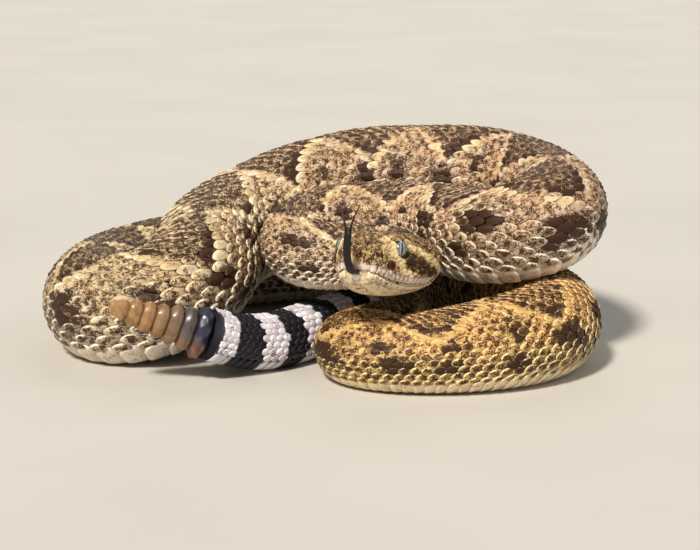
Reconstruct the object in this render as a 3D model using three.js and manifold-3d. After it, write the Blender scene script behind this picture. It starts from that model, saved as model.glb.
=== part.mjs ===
// Western diamondback rattlesnake, life size, coiled at rest with its head facing the front.
// Millimetres. +X is to the viewer's right, +Y away from the viewer, +Z up.
// The origin is on the floor, at the middle of the whole animal's box.

import * as THREE from 'three';
import { mergeVertices } from 'three/addons/utils/BufferGeometryUtils.js';
import Module from 'manifold-3d';

const wasm = await Module();
wasm.setup();

// Driving dimensions of the body

const GAP = 0.3;              // air between neighbouring pieces
const BELLY = 0.93;           // depth of the flat belly below the centreline, in radii
const RING_STEP = 6.5;        // distance between the cross-sections of the body
const BODY_SIDES = 18;        // sides of a cross-section of the body
const INNER_LIMIT = 0.8;      // how near the inside of a bend may come to the bend's centre
const BEND_REACH = 7;         // half the length over which a bend is measured
const EASE_STEP = 5;          // spacing of the places that are averaged on the centreline
const EASE_WEIGHTS = [1 / 16, 4 / 16, 6 / 16, 4 / 16, 1 / 16];
const FLOOR = 'floor';

// The way the body lies, from the back of the head to the root of the rattle:
// to the right, away, and the height of the centreline, or FLOOR where it lies on the ground
const ROUTE = [
  // neck, turning left behind the head
  [16, 41, 40.4], [9, 47.5, 38.9], [-4, 49, 38.2],
  // left bend, then back to the right behind the neck
  [-14, 51, 38.6], [-20, 58, 40.2], [-20, 66, 42.6], [-14, 74, 44.4], [-4, 77, 46],
  [8, 78, 46], [20, 77, 46], [30, 70, 46],
  // right loop, resting on the coil below it
  [37, 59, 46], [44, 49, 46], [53, 42, 47], [64, 42, 50], [72, 51, 52], [75, 64, 53],
  // over the back to the left
  [72.5, 77, 54], [68, 88, 55], [60, 98, 56], [49, 105, 57], [36, 111, 56], [22, 115, 55],
  [7, 116, 54], [-8, 114, 51], [-23, 111, 47], [-36, 102, 42], [-47, 91, 38], [-53, 77, 34],
  // down to the floor and round the left end
  [-55, 63, 30], [-63, 51, 25], [-74, 47, 21], [-86, 51, FLOOR], [-92.5, 62, FLOOR],
  // along the floor behind the upper coil
  [-93.5, 75, FLOOR], [-92, 89, FLOOR], [-88, 102, FLOOR], [-81, 115, FLOOR], [-73, 127, FLOOR],
  [-61, 137, FLOOR], [-48, 144, FLOOR], [-34, 150, FLOOR], [-19, 155, FLOOR],
  [-4, 157, FLOOR], [11, 155, FLOOR], [25, 150, FLOOR], [36, 141, FLOOR],
  // forward again under the right loop
  [45, 129, FLOOR], [51, 115, FLOOR], [55, 100, FLOOR], [59, 86, FLOOR], [65, 72, FLOOR],
  [71, 59, FLOOR], [73, 45, FLOOR],
  // front coil
  [69, 31, FLOOR], [60, 20, FLOOR], [47, 12, FLOOR], [32, 8, FLOOR], [17, 8, FLOOR],
  [6, 12, FLOOR], [-1, 21, FLOOR], [-1, 33, FLOOR],
  // back under the head, and round to the tail
  [5, 43, FLOOR], [13, 52, FLOOR], [21, 61, FLOOR], [22, 71, FLOOR], [14, 79, FLOOR],
  [4, 77, FLOOR], [-4, 68, FLOOR],
  // tail, lifted at its end
  [-12, 58, FLOOR], [-20, 48, FLOOR], [-29, 38, FLOOR], [-40, 29, 12], [-51, 20.5, 17],
];

// Radius of the body at these distances along it
const GIRTH = [
  [0, 8.8], [20, 10.0], [45, 11.4], [70, 12.6], [105, 13.9], [160, 16.4], [255, 20.2],
  [330, 21.6], [400, 20.7], [445, 19.9], [600, 19.4], [745, 17.0], [778, 16.4], [808, 14.4],
  [836, 12.0], [858, 11.1], [915, 10.8], [975, 10.0], [1005, 9.2],
];

// Where one length of the body ends and the next begins, as distances along it
const LENGTHS = [
  { name: 'neck', end: 72 },
  { name: 'forebody_left', end: 128 },
  { name: 'forebody_right', end: 202 },
  { name: 'midbody_right', end: 268 },
  { name: 'midbody_top', end: 350 },
  { name: 'midbody_left', end: 446 },
  { name: 'hindbody_left', end: 530 },
  { name: 'hindbody_back', end: 620 },
  { name: 'hindbody_right', end: 704 },
  { name: 'hindbody_turn', end: 760 },
  { name: 'hindbody_front', end: 846 },
  { name: 'hindbody_inner', end: 906 },
  { name: 'tail', end: Infinity },
];

// Colours and finish of the materials
const SKIN_COLOURS = {
  neck: 0xa08a6e, forebody_left: 0xa08a6e, forebody_right: 0xa58c70, midbody_right: 0xa08667,
  midbody_top: 0x957f62, midbody_left: 0xb5a488, hindbody_left: 0xb09e80, hindbody_back: 0xa8926c,
  hindbody_right: 0xb3924f, hindbody_turn: 0xc29a4a, hindbody_front: 0xc79e4c,
  hindbody_inner: 0xb58f4c, tail: 0xb9b3b0,
};

// Meshes

const snake = new THREE.Group();

function material(colour, roughness) {
  return new THREE.MeshStandardMaterial({ color: colour, roughness, metalness: 0 });
}

function addMesh(name, geometry, finish) {
  const mesh = new THREE.Mesh(geometry, finish);
  mesh.name = name;
  snake.add(mesh);
  return mesh;
}

// A closed solid through cross-sections that all have the same number of points.
// Each section runs round the axis, and each end is closed by a fan about its middle.
function skinSections(sections) {
  const sides = sections[0].length;
  const positions = [];
  const triangles = [];
  const push = (p) => positions.push(p.x, p.y, p.z);
  sections.forEach((section) => section.forEach(push));
  for (let i = 0; i + 1 < sections.length; i += 1) {
    for (let k = 0; k < sides; k += 1) {
      const a = i * sides + k;
      const b = i * sides + (k + 1) % sides;
      triangles.push(a, b, a + sides, b, b + sides, a + sides);
    }
  }
  const closeEnd = (ring, forward) => {
    const middle = new THREE.Vector3();
    sections[ring].forEach((p) => middle.addScaledVector(p, 1 / sides));
    const centre = positions.length / 3;
    push(middle);
    for (let k = 0; k < sides; k += 1) {
      const a = ring * sides + k;
      const b = ring * sides + (k + 1) % sides;
      triangles.push(centre, forward ? a : b, forward ? b : a);
    }
  };
  closeEnd(0, false);
  closeEnd(sections.length - 1, true);
  const geometry = new THREE.BufferGeometry();
  geometry.setAttribute('position', new THREE.Float32BufferAttribute(positions, 3));
  geometry.setIndex(triangles);
  return geometry;
}

// Solids for joining and cutting

function toSolid(geometry) {
  const plain = geometry.clone();
  plain.deleteAttribute('normal');
  plain.deleteAttribute('uv');
  const merged = mergeVertices(plain, 1e-4);
  return new wasm.Manifold(new wasm.Mesh({
    numProp: 3,
    vertProperties: Float32Array.from(merged.attributes.position.array),
    triVerts: Uint32Array.from(merged.index.array),
  }));
}

function toGeometry(solid) {
  const whole = solid.decompose().sort((a, b) => b.volume() - a.volume())[0];
  const mesh = whole.getMesh();
  const geometry = new THREE.BufferGeometry();
  geometry.setAttribute('position', new THREE.BufferAttribute(mesh.vertProperties, 3));
  geometry.setIndex(new THREE.BufferAttribute(mesh.triVerts, 1));
  return geometry;
}

// Interpolation in a list of [place, value] pairs, eased by a Catmull-Rom curve
function along(pairs, s) {
  const last = pairs.length - 1;
  if (s <= pairs[0][0]) return pairs[0][1];
  if (s >= pairs[last][0]) return pairs[last][1];
  let i = 0;
  while (pairs[i + 1][0] < s) i += 1;
  const slope = (j) => {
    if (j === 0 || j === last) return 0;
    return (pairs[j + 1][1] - pairs[j - 1][1]) / (pairs[j + 1][0] - pairs[j - 1][0]);
  };
  const span = pairs[i + 1][0] - pairs[i][0];
  const t = (s - pairs[i][0]) / span;
  const t2 = t * t;
  const t3 = t2 * t;
  return (2 * t3 - 3 * t2 + 1) * pairs[i][1] + (t3 - 2 * t2 + t) * span * slope(i)
    + (3 * t2 - 2 * t3) * pairs[i + 1][1] + (t3 - t2) * span * slope(i + 1);
}

// Head, in its own frame: back from the snout, to the animal's right, and up

const SNOUT = new THREE.Vector3(2.0, -11.5, 50.1);
const HEAD_YAW = 20;          // degrees to the viewer's left
const HEAD_PITCH = 11;        // degrees up
const HEAD_SIDES = 24;
const HEAD_LENGTH = 47.5;
const NECK_RISE = -0.5;       // height of the neck's centreline over the head's axis, where they meet
const NECK_START = 20;        // distance along the body's line at which the head ends

const headForward = new THREE.Vector3(
  -Math.sin(THREE.MathUtils.degToRad(HEAD_YAW)) * Math.cos(THREE.MathUtils.degToRad(HEAD_PITCH)),
  -Math.cos(THREE.MathUtils.degToRad(HEAD_YAW)) * Math.cos(THREE.MathUtils.degToRad(HEAD_PITCH)),
  Math.sin(THREE.MathUtils.degToRad(HEAD_PITCH)),
);
const headRight = headForward.clone().cross(new THREE.Vector3(0, 0, 1)).normalize();
const headUp = new THREE.Vector3().crossVectors(headRight, headForward);
// Takes back, right and up in the head's frame to a place in the model's frame
const headMatrix = new THREE.Matrix4()
  .makeBasis(headForward.clone().negate(), headRight, headUp)
  .setPosition(SNOUT);
const inHead = (back, right, up) => new THREE.Vector3(back, right, up).applyMatrix4(headMatrix);

// The centreline

const girth = (s) => along(GIRTH, s);

// The line starts inside the head, along its axis, so that the neck leaves it straight
function routePoints() {
  const points = [-20, -10, 0].map((beyond) => inHead(HEAD_LENGTH + beyond, 0, NECK_RISE));
  let s = 20;
  for (const [x, y, height] of ROUTE) {
    const previous = points[points.length - 1];
    s += Math.hypot(x - previous.x, y - previous.y);
    points.push(new THREE.Vector3(x, y, height === FLOOR ? BELLY * girth(s) : height));
  }
  return points;
}

const centreline = new THREE.CatmullRomCurve3(routePoints(), false, 'catmullrom', 0.5);
centreline.arcLengthDivisions = 4000;
const BODY_LENGTH = centreline.getLength();

// A place on the centreline, eased over its neighbours so that the bends stay round
function onLine(s) {
  const place = new THREE.Vector3();
  EASE_WEIGHTS.forEach((weight, i) => {
    const near = s + (i - (EASE_WEIGHTS.length - 1) / 2) * EASE_STEP;
    place.addScaledVector(centreline.getPointAt(THREE.MathUtils.clamp(near / BODY_LENGTH, 0, 1)), weight);
  });
  return place;
}

// From the centreline towards the middle of the straight line that spans its bend
function bowAt(s) {
  return onLine(s - BEND_REACH).add(onLine(s + BEND_REACH)).multiplyScalar(0.5).sub(onLine(s));
}

// Place, direction, up and right-hand directions of the body at a distance along it, and its bend
function bodyFrame(s) {
  const place = onLine(s);
  place.z = Math.max(place.z, BELLY * girth(s));
  const step = 1.5;
  const forward = onLine(s + step).sub(onLine(s - step)).normalize();
  const up = new THREE.Vector3(0, 0, 1).addScaledVector(forward, -forward.z).normalize();
  const side = new THREE.Vector3().crossVectors(forward, up);
  const inward = bowAt(s);
  inward.addScaledVector(forward, -inward.dot(forward)).normalize();
  const sag = Math.max(...[-BEND_REACH, 0, BEND_REACH].map((near) => bowAt(s + near).length()), 1e-6);
  const bendRadius = (BEND_REACH * BEND_REACH + sag * sag) / (2 * sag);
  return { place, forward, up, side, inward, bendRadius };
}

// A cross-section of the body, moved a little along it where it closes a length
function bodySection(s, shift = 0) {
  const frame = bodyFrame(s);
  frame.place.addScaledVector(frame.forward, shift);
  const r = girth(s);
  const squeeze = Math.min(1, INNER_LIMIT * frame.bendRadius / r);
  const section = [];
  for (let k = 0; k < BODY_SIDES; k += 1) {
    const turn = 2 * Math.PI * k / BODY_SIDES;
    const across = r * Math.sin(turn);
    const high = Math.max(r * Math.cos(turn), -BELLY * r);
    const offset = new THREE.Vector3()
      .addScaledVector(frame.side, across)
      .addScaledVector(frame.up, high);
    const inward = offset.dot(frame.inward);
    if (inward > 0) offset.addScaledVector(frame.inward, inward * (squeeze - 1));
    const point = offset.add(frame.place);
    if (point.z < GAP) point.z = 0;
    section.push(point);
  }
  return section;
}

// Head

// Half width, height above the axis and depth below it, at each distance back from the snout
const HEAD_WIDTH = [
  [0, 2.6], [0.8, 4.7], [2.2, 6.5], [4.5, 7.9], [8, 9.2], [12, 10.6], [16, 12.4], [22, 15.2],
  [28, 17.4], [33, 18.2], [38, 17.2], [42, 14.4], [45.5, 11.2], [47.5, 10.0],
];
const HEAD_TOP = [
  [0, 1.0], [0.8, 2.7], [2.2, 4.1], [4.5, 5.5], [8, 6.9], [12, 8.2], [16, 8.9], [24, 9.2],
  [34, 9.0], [42, 8.8], [47.5, 8.8],
];
const HEAD_BOTTOM = [
  [0, 5.0], [0.8, 7.0], [2.2, 8.6], [4.5, 9.7], [8, 10.9], [12, 11.6], [16, 12.1], [24, 12.4],
  [34, 12.0], [42, 10.9], [47.5, 9.8],
];
// Height of the line of the mouth
const MOUTH_LINE = [[-6, -4.2], [1, -4.4], [6, -5.7], [15, -7.4], [26, -7.7], [34, -6.2], [37, -5.0]];
const MOUTH_END = 37;

function headSection(back, sides = HEAD_SIDES) {
  const width = along(HEAD_WIDTH, back);
  const top = along(HEAD_TOP, back);
  const bottom = along(HEAD_BOTTOM, back);
  const boxy = THREE.MathUtils.lerp(0.82, 0.95, THREE.MathUtils.smoothstep(back, 8, 40));
  const section = [];
  for (let k = 0; k < sides; k += 1) {
    const turn = 2 * Math.PI * k / sides;
    const c = Math.cos(turn);
    const s = Math.sin(turn);
    const right = -width * Math.sign(s) * Math.abs(s) ** boxy;
    const up = (c > 0 ? top : bottom) * Math.sign(c) * Math.abs(c) ** boxy;
    section.push(new THREE.Vector3(back, right, up));
  }
  return section;
}

// The rattle's frame, which the end of the tail also takes

const RATTLE_TIP = new THREE.Vector3(-82.5, 7.0, 30.5);

function makeRattleFrame() {
  const root = bodyFrame(BODY_LENGTH).place;
  const axis = RATTLE_TIP.clone().sub(root).normalize();
  const up = new THREE.Vector3(0, 0, 1).addScaledVector(axis, -axis.z).normalize();
  const side = new THREE.Vector3().crossVectors(axis, up);
  return { root, axis, up, side };
}

const rattleFrame = makeRattleFrame();

function tailEnd() {
  const r = girth(BODY_LENGTH);
  const section = [];
  for (let k = 0; k < BODY_SIDES; k += 1) {
    const turn = 2 * Math.PI * k / BODY_SIDES;
    section.push(rattleFrame.root.clone()
      .addScaledVector(rattleFrame.axis, -GAP / 2)
      .addScaledVector(rattleFrame.side, r * Math.sin(turn))
      .addScaledVector(rattleFrame.up, r * Math.cos(turn)));
  }
  return section;
}

// The lengths of the body

let lengthStart = NECK_START;
for (const { name, end } of LENGTHS) {
  const lengthEnd = Math.min(end, BODY_LENGTH);
  const count = Math.round((lengthEnd - lengthStart) / RING_STEP);
  const sections = [];
  for (let i = 0; i <= count; i += 1) {
    const shift = i === 0 ? GAP / 2 : i === count ? -GAP / 2 : 0;
    sections.push(bodySection(THREE.MathUtils.lerp(lengthStart, lengthEnd, i / count), shift));
  }
  if (name === 'neck') {
    sections[0] = headSection(HEAD_LENGTH + GAP, BODY_SIDES).map((p) => p.applyMatrix4(headMatrix));
  }
  if (name === 'tail') sections[count] = tailEnd();
  addMesh(name, skinSections(sections), material(SKIN_COLOURS[name], 0.75));
  lengthStart = lengthEnd;
}

// The solids of the head

const HEAD_STATIONS = [0, 0.8, 2.2, 4.5, 7, 10, 13, 16, 19.5, 23, 27, 31, 35, 39, 42.5, 45.5, HEAD_LENGTH];

function ball(back, right, up, radii, widthSegments = 12, heightSegments = 8) {
  const geometry = new THREE.SphereGeometry(1, widthSegments, heightSegments);
  geometry.scale(...radii);
  geometry.translate(back, right, up);
  return toSolid(geometry);
}

// Eyes, pits and nostrils, as places on the right side; the left side mirrors them
const EYE = { back: 14.6, right: 9.5, up: 3.7, radius: 3.0 };
const PIT = { back: 9.0, right: 9.4, up: -1.8, radii: [1.5, 1.8, 1.4] };
const NOSTRIL = { back: 3.6, right: 7.3, up: 1.7, radii: [0.8, 1.5, 1.2] };
const BROW = { back: 14.8, right: 8.9, up: 7.0, radii: [6.2, 3.4, 1.5] };
const TONGUE_CHANNEL = { radius: 1.7, depth: 7 };

// Everything below the line of the mouth, as far back as its corner
function belowMouth(lift) {
  const outline = new THREE.Shape();
  const far = 40;
  outline.moveTo(-6, -far);
  outline.lineTo(MOUTH_END + 1.5 + lift, -far);
  outline.lineTo(MOUTH_END + lift, along(MOUTH_LINE, MOUTH_END) + lift);
  for (let back = MOUTH_END - 3; back >= -2; back -= 4) {
    outline.lineTo(back, along(MOUTH_LINE, back) + lift);
  }
  outline.lineTo(-6, along(MOUTH_LINE, -6) + lift);
  const geometry = new THREE.ExtrudeGeometry(outline, { depth: 2 * far, bevelEnabled: false });
  geometry.translate(0, 0, -far);
  geometry.rotateX(Math.PI / 2);
  return toSolid(geometry);
}

function tongueChannel() {
  const { radius, depth } = TONGUE_CHANNEL;
  const geometry = new THREE.CylinderGeometry(radius, radius, depth + 8, 10);
  geometry.rotateZ(Math.PI / 2);
  geometry.translate(depth / 2 - 4, 0, along(MOUTH_LINE, 1));
  return toSolid(geometry);
}

function makeHead() {
  let whole = toSolid(skinSections(HEAD_STATIONS.map((back) => headSection(back))));
  if (whole.volume() < 0) throw new Error('the head is inside out');
  for (const way of [1, -1]) {
    whole = whole.add(ball(BROW.back, way * BROW.right, BROW.up, BROW.radii, 14, 8));
    whole = whole.subtract(ball(PIT.back, way * PIT.right, PIT.up, PIT.radii, 8, 6));
    whole = whole.subtract(ball(NOSTRIL.back, way * NOSTRIL.right, NOSTRIL.up, NOSTRIL.radii, 8, 6));
    const socket = EYE.radius + GAP;
    whole = whole.subtract(ball(EYE.back, way * EYE.right, EYE.up, [socket, socket, socket], 14, 10));
  }
  whole = whole.subtract(tongueChannel());
  const upper = whole.subtract(belowMouth(GAP));
  const jaw = whole.intersect(belowMouth(0));
  return { upper: toGeometry(upper), jaw: toGeometry(jaw) };
}

const head = makeHead();
addMesh('head', head.upper.applyMatrix4(headMatrix), material(0x8f7a58, 0.7));
addMesh('lower_jaw', head.jaw.applyMatrix4(headMatrix), material(0xd6cbb4, 0.7));
for (const [name, way] of [['eye_left', -1], ['eye_right', 1]]) {
  const eye = addMesh(name, new THREE.SphereGeometry(EYE.radius, 16, 12), material(0x6f7d86, 0.15));
  eye.position.copy(inHead(EYE.back, way * EYE.right, EYE.up));
}

// Tongue: out of the notch in the lip, then up, and forked

const TONGUE_STEM = [[6, 0, -4.4], [1, 0, -4.5], [-4, 0, -4.2], [-7.5, 0.3, -0.5], [-8.5, 0.4, 4], [-8.8, 0.2, 8.2]];
const TONGUE_WIDTH = 1.2;
const TONGUE_THICKNESS = 0.55;

function sweep(points, halfWidth, halfThickness, sides, steps) {
  const curve = new THREE.CatmullRomCurve3(points.map((p) => new THREE.Vector3(...p)));
  const sections = [];
  for (let i = 0; i <= steps; i += 1) {
    const t = i / steps;
    const place = curve.getPointAt(t);
    const forward = curve.getTangentAt(t);
    const across = new THREE.Vector3(0, 1, 0).addScaledVector(forward, -forward.y).normalize();
    const flat = new THREE.Vector3().crossVectors(forward, across);
    const section = [];
    for (let k = 0; k < sides; k += 1) {
      const turn = 2 * Math.PI * k / sides;
      section.push(place.clone()
        .addScaledVector(across, halfWidth(t) * Math.cos(turn))
        .addScaledVector(flat, halfThickness(t) * Math.sin(turn)));
    }
    sections.push(section);
  }
  return toSolid(skinSections(sections));
}

function makeTongue() {
  const taper = (from, to) => (t) => from + (to - from) * t;
  const fork = TONGUE_STEM[TONGUE_STEM.length - 1];
  let tongue = sweep(TONGUE_STEM, taper(TONGUE_WIDTH, 1.1), taper(0.6, TONGUE_THICKNESS), 8, 12);
  for (const [spread, rise] of [[3.6, 9.6], [-3.4, 9.4]]) {
    const way = Math.sign(spread);
    const tine = [
      [fork[0] + 0.15, fork[1] + 0.35 * way, fork[2] - 2.5],
      [fork[0], fork[1] + 0.6 * way, fork[2]],
      [fork[0] - 0.3, fork[1] + spread * 0.42, fork[2] + rise * 0.4],
      [fork[0] + 0.2, fork[1] + spread, fork[2] + rise],
    ];
    tongue = tongue.add(sweep(tine, taper(0.6, 0.22), taper(0.5, 0.2), 6, 8));
  }
  return toGeometry(tongue);
}

addMesh('tongue', makeTongue().applyMatrix4(headMatrix), material(0x17130f, 0.4));

// Rattle: hollow rings of horn in life, here solid, each gripping the next

const RATTLE_HEIGHTS = [18.6, 15.6, 14.2, 12.4, 11.0, 9.8, 7.0];
const RATTLE_PITCH = [5.6, 5.2, 5.0, 4.9, 4.8, 4.7, 7.2];
const RATTLE_FLATNESS = 0.62;   // thickness of a segment as a share of its height
const RATTLE_SIDES = 16;
const GROOVE_DEPTH = 0.16;
const RATTLE_PROFILE = [[0, 0.8], [0.22, 0.98], [0.45, 1.0], [0.75, 0.9], [1, 0.74]];
const BUTTON_PROFILE = [[0, 0.86], [0.25, 1.0], [0.55, 0.92], [0.8, 0.72], [0.95, 0.42], [1, 0.2]];

function makeRattle() {
  const { root, axis, up, side } = rattleFrame;
  const colours = [0x2b2f3a, 0x4a4036, 0x6e5238, 0x85643f, 0x946d42, 0x9a7046, 0xa27649];
  let start = GAP / 2;
  RATTLE_HEIGHTS.forEach((height, i) => {
    const isButton = i === RATTLE_HEIGHTS.length - 1;
    const profile = isButton ? BUTTON_PROFILE : RATTLE_PROFILE;
    const length = RATTLE_PITCH[i] - GAP;
    const sections = profile.map(([t, swell]) => {
      const section = [];
      for (let k = 0; k < RATTLE_SIDES; k += 1) {
        const turn = 2 * Math.PI * k / RATTLE_SIDES;
        const high = height / 2 * swell * Math.cos(turn);
        const groove = 1 - GROOVE_DEPTH * Math.exp(-((Math.cos(turn) / 0.3) ** 2));
        const across = height / 2 * RATTLE_FLATNESS * swell * groove * Math.sin(turn);
        section.push(root.clone()
          .addScaledVector(axis, start + length * t)
          .addScaledVector(side, across)
          .addScaledVector(up, high));
      }
      return section;
    });
    const name = isButton ? 'rattle_button' : `rattle_segment_${i + 1}`;
    addMesh(name, skinSections(sections), material(colours[i], 0.45));
    start += RATTLE_PITCH[i];
  });
}

makeRattle();

// The origin goes to the middle of the box, on the floor

const box = new THREE.Box3().setFromObject(snake, true);
const middle = box.getCenter(new THREE.Vector3());
snake.children.forEach((mesh) => {
  mesh.position.x -= middle.x;
  mesh.position.y -= middle.y;
});

export default snake;
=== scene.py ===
"""Western diamondback rattlesnake, life size: skin, scales, head, eyes, tongue and rattle.

Lengths are in millimetres in the frame of the route, and go to metres in the row frame at the end.
"""

import math

import bmesh
import bpy
import numpy as np
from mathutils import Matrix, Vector
from mathutils.kdtree import KDTree


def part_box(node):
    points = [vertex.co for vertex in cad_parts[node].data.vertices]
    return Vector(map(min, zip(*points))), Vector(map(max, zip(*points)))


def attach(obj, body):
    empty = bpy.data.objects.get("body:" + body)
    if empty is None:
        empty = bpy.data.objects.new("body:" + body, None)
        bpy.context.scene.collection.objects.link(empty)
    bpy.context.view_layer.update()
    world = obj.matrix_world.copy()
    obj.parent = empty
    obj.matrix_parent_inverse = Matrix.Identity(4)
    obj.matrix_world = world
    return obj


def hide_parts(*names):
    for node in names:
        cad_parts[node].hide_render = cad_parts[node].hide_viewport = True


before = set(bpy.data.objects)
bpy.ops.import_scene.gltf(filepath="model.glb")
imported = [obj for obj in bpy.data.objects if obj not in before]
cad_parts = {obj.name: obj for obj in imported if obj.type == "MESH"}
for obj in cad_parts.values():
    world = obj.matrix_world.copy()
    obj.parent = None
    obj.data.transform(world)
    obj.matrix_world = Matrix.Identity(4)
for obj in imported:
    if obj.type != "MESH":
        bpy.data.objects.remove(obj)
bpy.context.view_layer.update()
random = np.random.default_rng(7)

# Route and girth of the body, as in the part's source

BELLY = 0.93
INNER_LIMIT = 0.8
BEND_REACH = 7.0
EASE_STEP = 5.0
FRAME_STEP, SLOPE_REACH = 0.5, 1.5
EASE_WEIGHTS = (1 / 16, 4 / 16, 6 / 16, 4 / 16, 1 / 16)
F = None   # the height of a place that lies on the floor

ROUTE = [
    (16, 41, 40.4), (9, 47.5, 38.9), (-4, 49, 38.2),
    (-14, 51, 38.6), (-20, 58, 40.2), (-20, 66, 42.6), (-14, 74, 44.4), (-4, 77, 46),
    (8, 78, 46), (20, 77, 46), (30, 70, 46),
    (37, 59, 46), (44, 49, 46), (53, 42, 47), (64, 42, 50), (72, 51, 52), (75, 64, 53),
    (72.5, 77, 54), (68, 88, 55), (60, 98, 56), (49, 105, 57), (36, 111, 56), (22, 115, 55),
    (7, 116, 54), (-8, 114, 51), (-23, 111, 47), (-36, 102, 42), (-47, 91, 38), (-53, 77, 34),
    (-55, 63, 30), (-63, 51, 25), (-74, 47, 21), (-86, 51, F), (-92.5, 62, F),
    (-93.5, 75, F), (-92, 89, F), (-88, 102, F), (-81, 115, F), (-73, 127, F),
    (-61, 137, F), (-48, 144, F), (-34, 150, F), (-19, 155, F),
    (-4, 157, F), (11, 155, F), (25, 150, F), (36, 141, F),
    (45, 129, F), (51, 115, F), (55, 100, F), (59, 86, F), (65, 72, F),
    (71, 59, F), (73, 45, F),
    (69, 31, F), (60, 20, F), (47, 12, F), (32, 8, F), (17, 8, F),
    (6, 12, F), (-1, 21, F), (-1, 33, F),
    (5, 43, F), (13, 52, F), (21, 61, F), (22, 71, F), (14, 79, F),
    (4, 77, F), (-4, 68, F),
    (-12, 58, F), (-20, 48, F), (-29, 38, F), (-40, 29, 12), (-51, 20.5, 17),
]
GIRTH = [
    (0, 8.8), (20, 10.0), (45, 11.4), (70, 12.6), (105, 13.9), (160, 16.4), (255, 20.2),
    (330, 21.6), (400, 20.7), (445, 19.9), (600, 19.4), (745, 17.0), (778, 16.4), (808, 14.4),
    (836, 12.0), (858, 11.1), (915, 10.8), (975, 10.0), (1005, 9.2),
]
NECK_START = 20.0
VENT = 912.0

# Head, in its own frame: back from the snout, to the animal's right, and up

SNOUT = np.array((2.0, -11.5, 50.1))
HEAD_YAW, HEAD_PITCH = math.radians(20), math.radians(11)
HEAD_LENGTH = 47.5
NECK_RISE = -0.5
HEAD_WIDTH = [
    (0, 2.6), (0.8, 4.7), (2.2, 6.5), (4.5, 7.9), (8, 9.2), (12, 10.6), (16, 12.4), (22, 15.2),
    (28, 17.4), (33, 18.2), (38, 17.2), (42, 14.4), (45.5, 11.2), (47.5, 10.0),
]
HEAD_TOP = [
    (0, 1.0), (0.8, 2.7), (2.2, 4.1), (4.5, 5.5), (8, 6.9), (12, 8.2), (16, 8.9), (24, 9.2),
    (34, 9.0), (42, 8.8), (47.5, 8.8),
]
HEAD_BOTTOM = [
    (0, 5.0), (0.8, 7.0), (2.2, 8.6), (4.5, 9.7), (8, 10.9), (12, 11.6), (16, 12.1), (24, 12.4),
    (34, 12.0), (42, 10.9), (47.5, 9.8),
]
MOUTH_LINE = [(-6, -4.2), (1, -4.4), (6, -5.7), (15, -7.4), (26, -7.7), (34, -6.2), (37, -5.0)]
MOUTH_END = 37.0
EYE = (14.6, 9.5, 3.7)
EYE_RADIUS = 3.0
PIT = (9.0, -1.8)
NOSTRIL = (3.6, 1.7)


def smooth(low, high, x):
    t = np.clip((np.asarray(x, float) - low) / (high - low), 0, 1)
    return t * t * (3 - 2 * t)


def bell(x, width):
    return np.exp(-(np.asarray(x, float) / width) ** 2)


def along(pairs, x):
    """Eased interpolation in a list of (place, value) pairs."""
    at = np.array([p[0] for p in pairs], float)
    value = np.array([p[1] for p in pairs], float)
    slope = np.zeros_like(value)
    slope[1:-1] = (value[2:] - value[:-2]) / (at[2:] - at[:-2])
    x = np.clip(np.asarray(x, float), at[0], at[-1])
    i = np.clip(np.searchsorted(at, x, side="left") - 1, 0, len(at) - 2)
    span = at[i + 1] - at[i]
    t = (x - at[i]) / span
    t2, t3 = t * t, t * t * t
    return ((2 * t3 - 3 * t2 + 1) * value[i] + (t3 - 2 * t2 + t) * span * slope[i]
            + (3 * t2 - 2 * t3) * value[i + 1] + (t3 - t2) * span * slope[i + 1])


def full_turn(count):
    """count angles evenly round a circle."""
    return np.linspace(0, 2 * np.pi, count, endpoint=False)


def unit(v):
    return v / np.maximum(np.linalg.norm(v, axis=-1, keepdims=True), 1e-9)


HEAD_FORWARD = np.array((
    -math.sin(HEAD_YAW) * math.cos(HEAD_PITCH),
    -math.cos(HEAD_YAW) * math.cos(HEAD_PITCH),
    math.sin(HEAD_PITCH)))
HEAD_RIGHT = unit(np.cross(HEAD_FORWARD, (0, 0, 1)))
HEAD_UP = np.cross(HEAD_RIGHT, HEAD_FORWARD)
HEAD_AXES = np.stack((-HEAD_FORWARD, HEAD_RIGHT, HEAD_UP))


def in_head(local):
    return SNOUT + np.asarray(local, float) @ HEAD_AXES


def girth(s):
    return along(GIRTH, s)


# Centreline

def route_points():
    """The route starts inside the head, on its own axis, and leaves it at the neck."""
    beyond = (-NECK_START, -NECK_START / 2, 0)
    points = [in_head((HEAD_LENGTH + place, 0, NECK_RISE)) for place in beyond]
    s = NECK_START
    for x, y, height in ROUTE:
        s += math.hypot(x - points[-1][0], y - points[-1][1])
        points.append(np.array((x, y, BELLY * float(girth(s)) if height is None else height)))
    return np.array(points)


CONTROL = route_points()


def curve(t):
    last = len(CONTROL) - 1
    p = np.clip(np.asarray(t, float), 0, 1) * last
    i = np.minimum(np.floor(p).astype(int), last - 1)
    w = (p - i)[:, None]
    padded = np.vstack((2 * CONTROL[0] - CONTROL[1], CONTROL, 2 * CONTROL[-1] - CONTROL[-2]))
    a, b, c, d = padded[i], padded[i + 1], padded[i + 2], padded[i + 3]
    t0, t1 = 0.5 * (c - a), 0.5 * (d - b)
    return b + t0 * w + (-3 * b + 3 * c - 2 * t0 - t1) * w ** 2 + (2 * b - 2 * c + t0 + t1) * w ** 3


TIMES = np.linspace(0, 1, 4001)
STEPS = np.linalg.norm(np.diff(curve(TIMES), axis=0), axis=1)
LENGTHS = np.concatenate(([0.0], np.cumsum(STEPS)))
BODY_LENGTH = float(LENGTHS[-1])


def on_line(s):
    place = 0
    for k, weight in enumerate(EASE_WEIGHTS):
        near = np.clip(np.asarray(s, float) + (k - 2) * EASE_STEP, 0, BODY_LENGTH)
        place = place + weight * curve(np.interp(near, LENGTHS, TIMES))
    return place


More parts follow.
